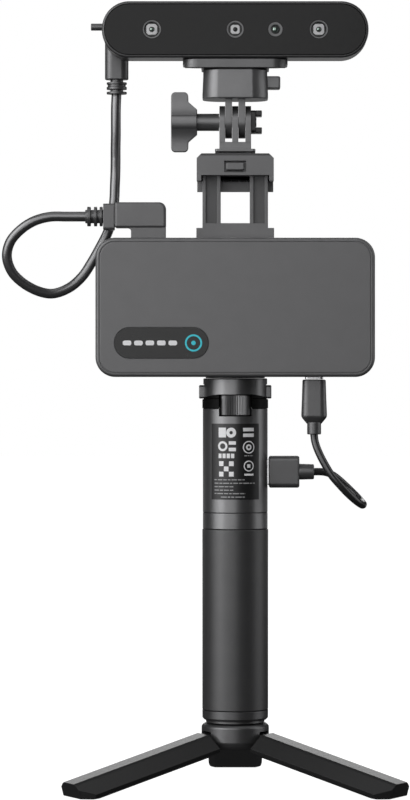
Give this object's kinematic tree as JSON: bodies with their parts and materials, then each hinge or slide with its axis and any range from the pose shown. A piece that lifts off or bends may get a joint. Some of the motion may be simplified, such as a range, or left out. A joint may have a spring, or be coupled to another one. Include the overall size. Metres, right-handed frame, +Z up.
{
  "type": "handheld scanner",
  "caption": "Handheld 3-D scanner bar on a tilting quick-release joint, sprung phone clamp, wireless bridge box, battery handle and folding mini tripod, with its leads.",
  "frame": {"origin": "centre of the feet's box on the surface that the feet rest on", "axes": "+Z up along the handle, -Y the way the scanner's lenses face, +X to the right when the lenses are seen from the front"},
  "size_m": [0.1855, 0.1374, 0.3613],
  "materials": {
    "shell_plastic": "fine matt texture",
    "front_panel": "satin black window panel",
    "lens_glass": "polished window",
    "board": "solder mask",
    "bare_metal": "machined",
    "steel": "bright",
    "moulded_black": "matt",
    "soft_black": "matt",
    "case_grey": "fine metallic satin paint",
    "satin_grey": "satin metallic",
    "grip_coating": "soft satin",
    "label_black": "printed film",
    "status_light": "light guide",
    "cell_wrap": "heat-shrink sleeve",
    "cord_jacket": "satin jacket"
  },
  "bodies": {
    "handle": {"clamp_bracket": "shell_plastic", "lower_jaw_pad": "soft_black", "bridge_back_shell": "case_grey", "bridge_front_cover": "case_grey", "bridge_badge": "label_black", "status_ring": "status_light", "bridge_circuit_board": "board", "bridge_plug": "soft_black", "bridge_plug_strain_relief": "soft_black", "scanner_cord_lower": "cord_jacket", "usb_c_plug": "soft_black", "usb_c_shell": "steel", "power_cord": "cord_jacket", "usb_a_plug": "soft_black", "usb_a_shell": "steel", "handle_top_plate": "moulded_black", "handle_collar": "satin_grey", "handle_neck": "moulded_black", "barrel": "satin_grey", "barrel_label": "label_black", "middle_ring": "satin_grey", "grip_sleeve": "grip_coating", "end_ring": "satin_grey", "battery_cell": "cell_wrap", "power_board": "board"},
    "clamp_jaw": {"upper_jaw": "shell_plastic", "upper_jaw_pad": "soft_black", "rail_left": "shell_plastic", "rail_right": "shell_plastic", "tilt_base": "moulded_black", "tilt_nut": "steel"},
    "jaw_button": {"jaw_button": "moulded_black"},
    "thumbscrew": {"thumbscrew_knob": "moulded_black", "thumbscrew_bolt": "steel"},
    "head": {"head_shell": "shell_plastic", "head_front_panel": "front_panel", "projector_window": "lens_glass", "ir_lens_left": "lens_glass", "ir_lens_right": "lens_glass", "rgb_lens": "lens_glass", "optics_rail": "bare_metal", "head_circuit_board": "board", "quick_release_plate": "shell_plastic", "head_screw": "steel", "mount_block": "shell_plastic", "scanner_plug": "soft_black", "scanner_cord_upper": "cord_jacket"},
    "release_button": {"release_button": "moulded_black"},
    "latch_left": {"latch_left": "satin_grey"},
    "latch_right": {"latch_right": "satin_grey"},
    "lock_wheel": {"lock_wheel": "satin_grey"},
    "power_button": {"power_button": "moulded_black"},
    "tripod": {"tripod_hub": "satin_grey", "leg_pin_rear": "steel", "leg_pin_left": "steel", "leg_pin_right": "steel"},
    "leg_rear": {"leg_rear": "moulded_black"},
    "leg_left": {"leg_left": "moulded_black"},
    "leg_right": {"leg_right": "moulded_black"}
  },
  "joints": [
    {"name": "jaw_slide", "type": "slide", "parent": "handle", "child": "clamp_jaw", "axis": [0, 0, 1], "range_m": [-0.02, 0.01], "deforming": ["scanner_cord_lower"]},
    {"name": "jaw_button_press", "type": "slide", "parent": "clamp_jaw", "child": "jaw_button", "axis": [0, 1, 0], "range_m": [0, 0.0012], "stiffness_N_per_m": 300},
    {"name": "head_tilt", "type": "hinge", "parent": "clamp_jaw", "child": "head", "pos_m": [0, -0.01784, 0.3067], "axis": [1, 0, 0], "range_deg": [-60, 60], "deforming": ["scanner_cord_upper"]},
    {"name": "thumbscrew_turn", "type": "hinge", "parent": "clamp_jaw", "child": "thumbscrew", "pos_m": [-0.02, -0.01784, 0.3067], "axis": [1, 0, 0], "continuous": true},
    {"name": "release_press", "type": "slide", "parent": "head", "child": "release_button", "axis": [-1, 0, 0], "range_m": [0, 0.002], "stiffness_N_per_m": 300},
    {"name": "latch_left_press", "type": "slide", "parent": "handle", "child": "latch_left", "axis": [1, 0, 0], "range_m": [0, 0.0012], "stiffness_N_per_m": 300},
    {"name": "latch_right_press", "type": "slide", "parent": "handle", "child": "latch_right", "axis": [-1, 0, 0], "range_m": [0, 0.0012], "stiffness_N_per_m": 300},
    {"name": "lock_wheel_turn", "type": "hinge", "parent": "handle", "child": "lock_wheel", "pos_m": [0, -0.02494, 0.176], "axis": [0, 0, 1], "continuous": true},
    {"name": "power_press", "type": "slide", "parent": "handle", "child": "power_button", "axis": [0, -1, 0], "range_m": [0, 0.001], "stiffness_N_per_m": 300},
    {"name": "tripod_turn", "type": "hinge", "parent": "handle", "child": "tripod", "pos_m": [0, -0.01784, 0.026], "axis": [0, 0, 1], "continuous": true},
    {"name": "leg_rear_fold", "type": "hinge", "parent": "tripod", "child": "leg_rear", "pos_m": [0, -0.00734, 0.0222], "axis": [-1, 0, 0], "range_deg": [0, 75]},
    {"name": "leg_left_fold", "type": "hinge", "parent": "tripod", "child": "leg_left", "pos_m": [-0.00909, -0.02309, 0.0222], "axis": [0.5, -0.866, 0], "range_deg": [0, 75]},
    {"name": "leg_right_fold", "type": "hinge", "parent": "tripod", "child": "leg_right", "pos_m": [0.00909, -0.02309, 0.0222], "axis": [0.5, 0.866, 0], "range_deg": [0, 75]}
  ]
}
